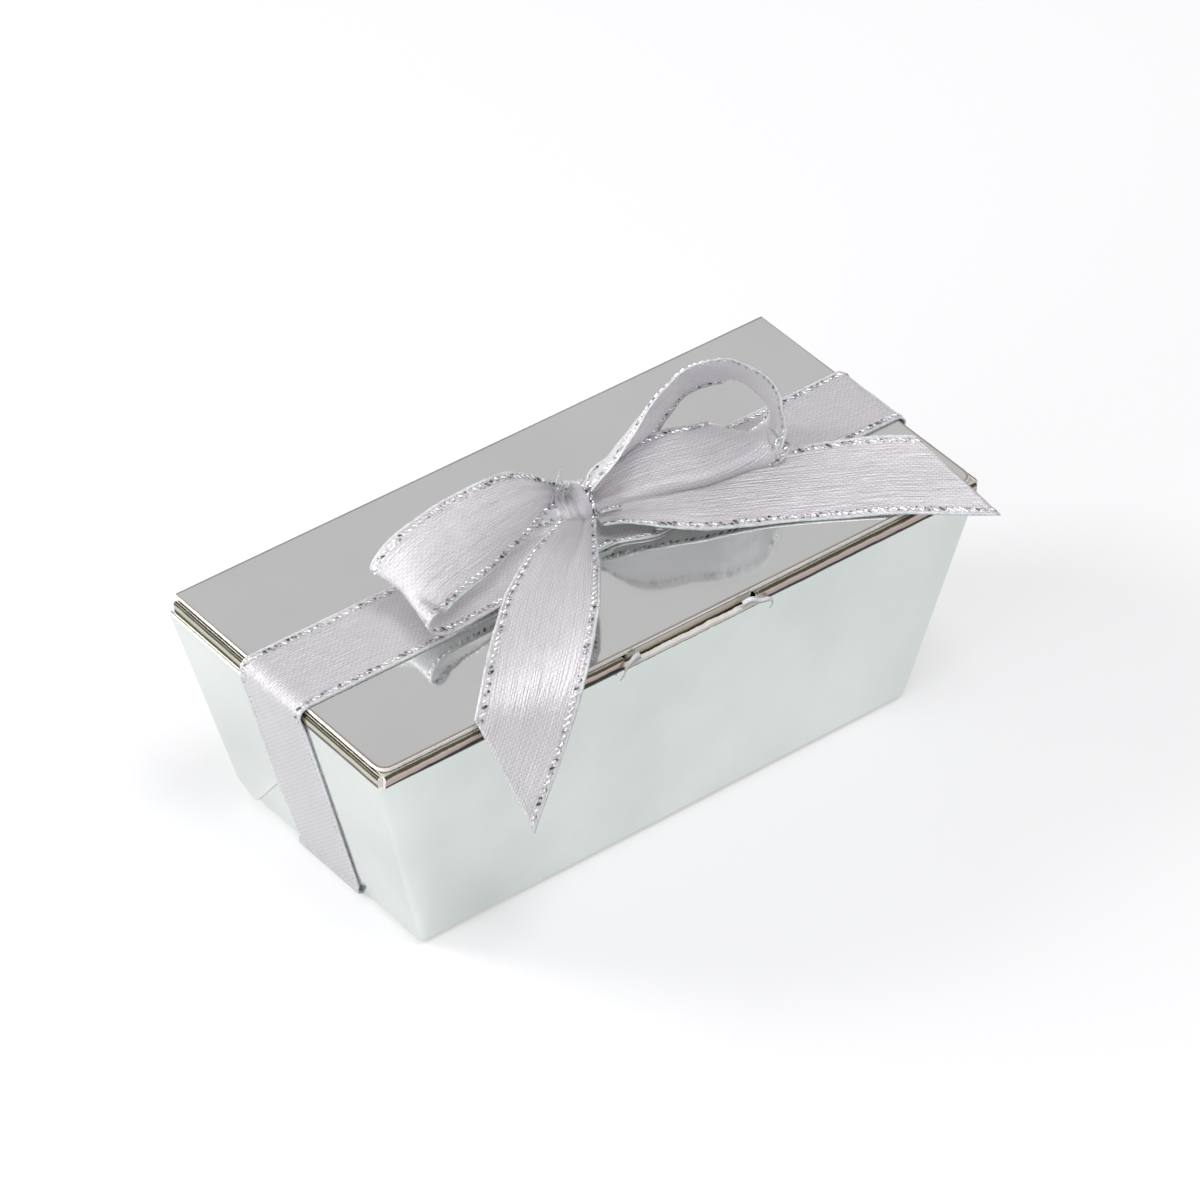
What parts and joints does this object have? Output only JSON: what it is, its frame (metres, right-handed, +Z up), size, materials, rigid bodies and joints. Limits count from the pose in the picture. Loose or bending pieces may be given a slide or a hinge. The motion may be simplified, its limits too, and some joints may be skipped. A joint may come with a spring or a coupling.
{
  "type": "chocolate box",
  "caption": "Small tapered mirror-board chocolate box with a folding slit-lock lid, tied lengthwise with a satin ribbon and bow.",
  "frame": {"origin": "underside of the ribbon at the middle of the box's base, which is the face it stands on", "axes": "+X along the box's length, -Y out of the long front side with the slit lock, +Z up"},
  "size_m": [0.0774, 0.0415, 0.0429],
  "materials": {
    "mirror_board": "polished",
    "base_board": "matte",
    "satin_ribbon": "satin",
    "cup_paper": "matte",
    "chocolate": "satin"
  },
  "bodies": {
    "tray": {"front_wall": "mirror_board", "back_wall": "mirror_board", "left_end_wall": "mirror_board", "right_end_wall": "mirror_board", "left_glue_flap": "mirror_board", "right_glue_flap": "mirror_board", "base_panel": "base_board", "back_base_flap": "base_board", "left_base_flap": "base_board", "right_base_flap": "base_board", "paper_cup_left": "cup_paper", "paper_cup_right": "cup_paper", "praline_left": "chocolate", "praline_right": "chocolate"},
    "lid": {"lid_panel": "mirror_board"},
    "tuck_tab": {"lid_tuck_tab": "mirror_board"},
    "front_flap": {"front_flap": "mirror_board"},
    "left_dust_flap": {"left_dust_flap": "mirror_board"},
    "right_dust_flap": {"right_dust_flap": "mirror_board"},
    "ribbon": {"ribbon_base_run": "satin_ribbon", "ribbon_left_run": "satin_ribbon", "ribbon_right_run": "satin_ribbon", "ribbon_top_left_run": "satin_ribbon", "ribbon_top_right_run": "satin_ribbon", "bow_knot": "satin_ribbon", "bow_left_loop": "satin_ribbon", "bow_right_loop": "satin_ribbon", "bow_front_tail": "satin_ribbon", "bow_right_tail": "satin_ribbon"}
  },
  "joints": [
    {"name": "lid_hinge", "type": "hinge", "parent": "tray", "child": "lid", "pos_m": [0, 0.0174, 0.0276], "axis": [-1, 0, 0], "range_deg": [0, 190], "deforming": ["ribbon_top_left_run", "ribbon_top_right_run", "bow_knot", "bow_left_loop", "bow_right_loop", "bow_front_tail", "bow_right_tail"]},
    {"name": "tuck_tab_fold", "type": "hinge", "parent": "lid", "child": "tuck_tab", "pos_m": [0.0004, -0.0168, 0.02705], "axis": [-1, 0, 0], "range_deg": [0, 57]},
    {"name": "front_flap_hinge", "type": "hinge", "parent": "tray", "child": "front_flap", "pos_m": [0, -0.0174, 0.02705], "axis": [1, 0, 0], "range_deg": [0, 133]},
    {"name": "left_dust_flap_hinge", "type": "hinge", "parent": "tray", "child": "left_dust_flap", "pos_m": [-0.038, 0, 0.0265], "axis": [0, -1, 0], "range_deg": [0, 85.5]},
    {"name": "right_dust_flap_hinge", "type": "hinge", "parent": "tray", "child": "right_dust_flap", "pos_m": [0.038, 0, 0.0265], "axis": [0, 1, 0], "range_deg": [0, 85.5]},
    {"name": "ribbon_slide", "type": "slide", "parent": "tray", "child": "ribbon", "axis": [0, -1, 0], "range_m": [0, 0.06]}
  ],
  "couplings": [
    {"joint": "tuck_tab_fold", "follows": "lid_hinge", "ratio": 0.3},
    {"joint": "front_flap_hinge", "follows": "lid_hinge", "ratio": 0.7},
    {"joint": "left_dust_flap_hinge", "follows": "lid_hinge", "ratio": 0.45},
    {"joint": "right_dust_flap_hinge", "follows": "lid_hinge", "ratio": 0.45},
    {"joint": "ribbon_slide", "follows": "lid_hinge", "m_per_rad": 0.018}
  ]
}
